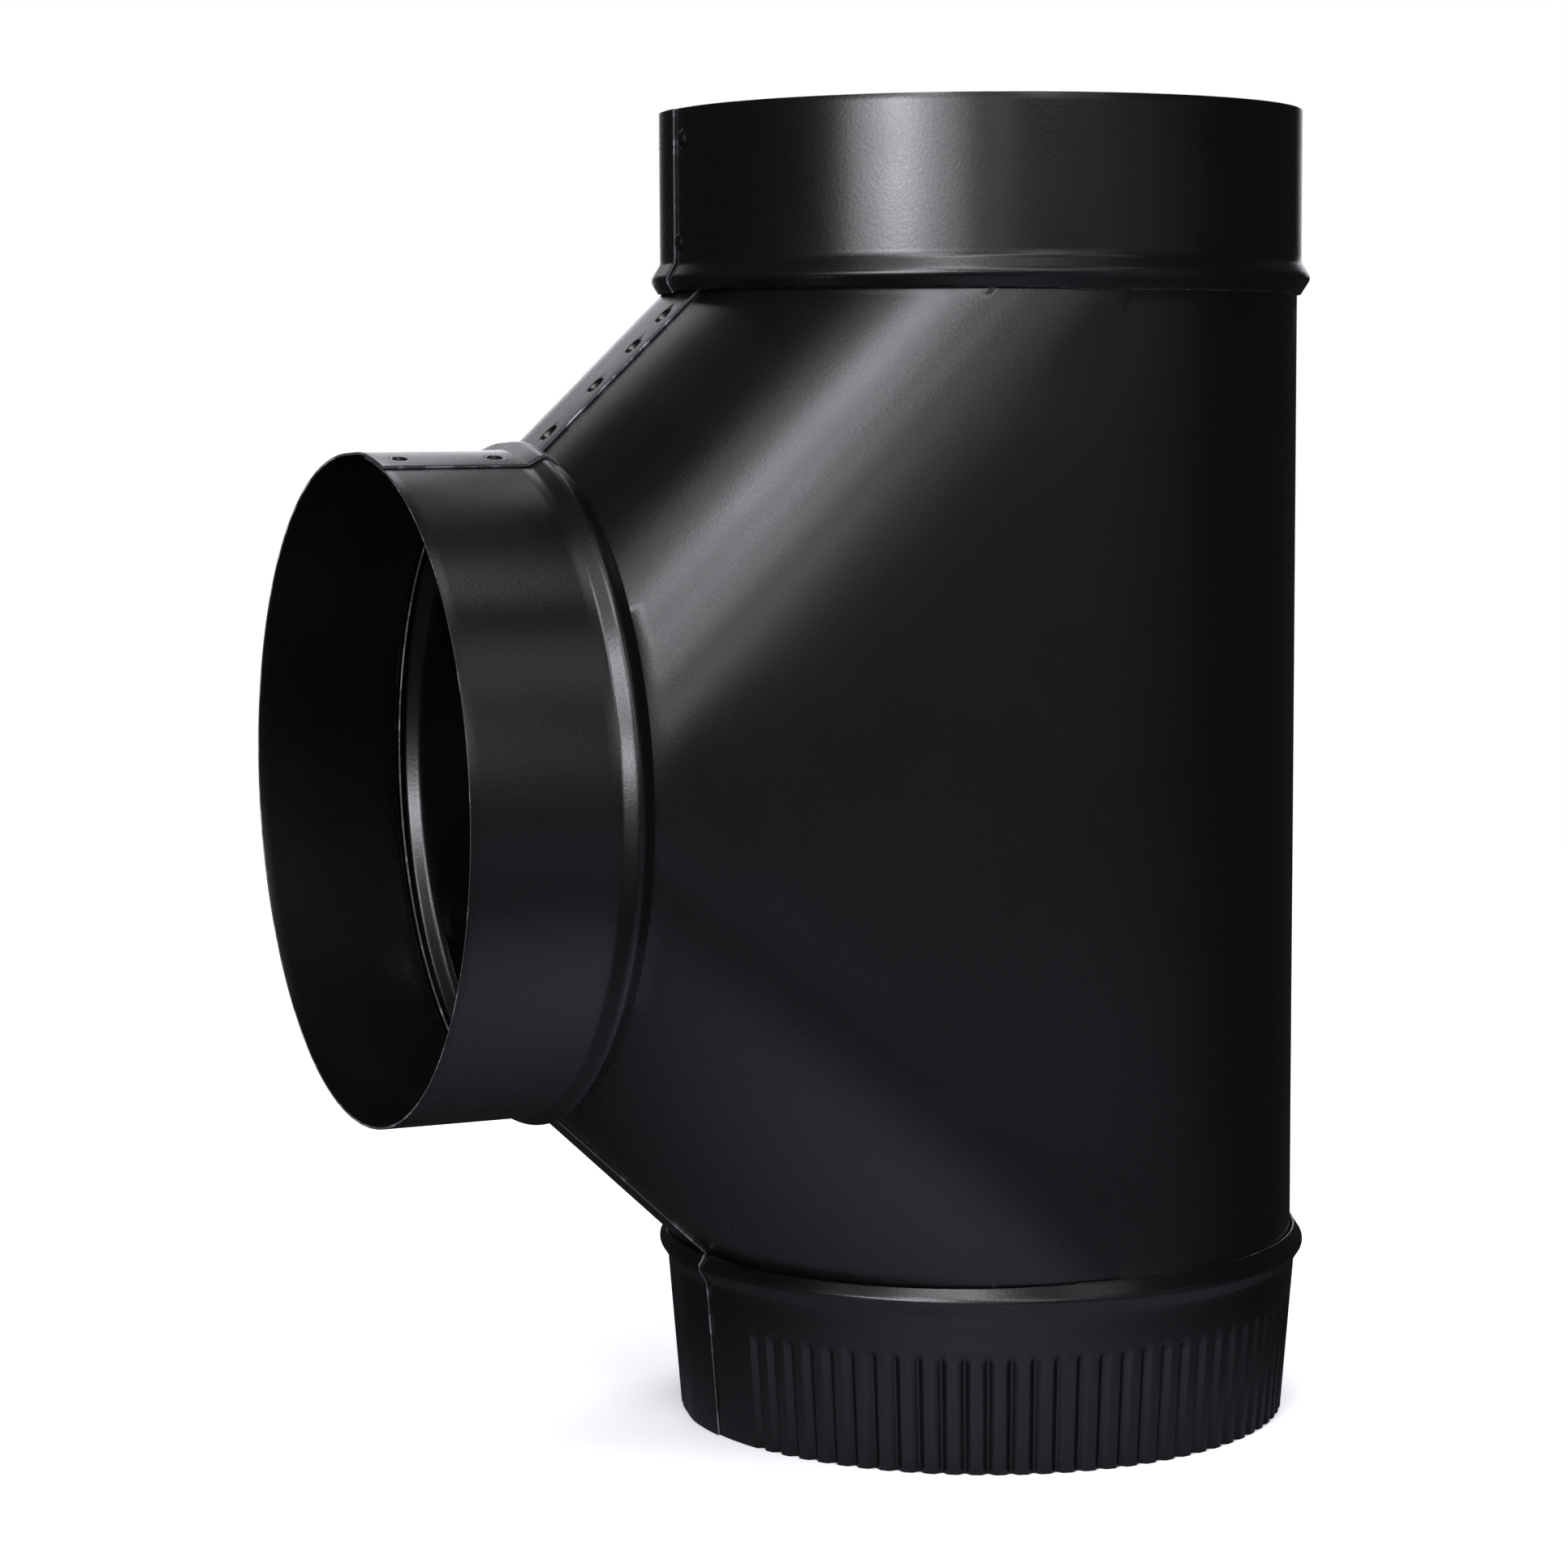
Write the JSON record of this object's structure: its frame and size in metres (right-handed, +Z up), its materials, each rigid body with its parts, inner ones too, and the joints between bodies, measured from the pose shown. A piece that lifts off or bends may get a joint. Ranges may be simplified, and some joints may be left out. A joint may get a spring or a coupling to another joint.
{
  "type": "stove pipe tee",
  "caption": "Black sheet-steel stove pipe tee with a plain collar on top, a plain side collar and a crimped end below, joined by rolled beads.",
  "frame": {"origin": "under the middle of the tee's box, in the plane of the crimped rim that it stands on", "axes": "+Z up along the run from the crimped end to the top collar, -X out along the branch, +Y to the far side as pictured"},
  "size_m": [0.2377, 0.1576, 0.313],
  "materials": {
    "body_paint": "satin",
    "top_collar_paint": "satin",
    "branch_collar_paint": "satin",
    "crimped_collar_paint": "satin"
  },
  "bodies": {
    "root": {"body_shell": "body_paint", "top_collar": "top_collar_paint", "branch_collar": "branch_collar_paint", "crimped_collar": "crimped_collar_paint"}
  },
  "joints": []
}
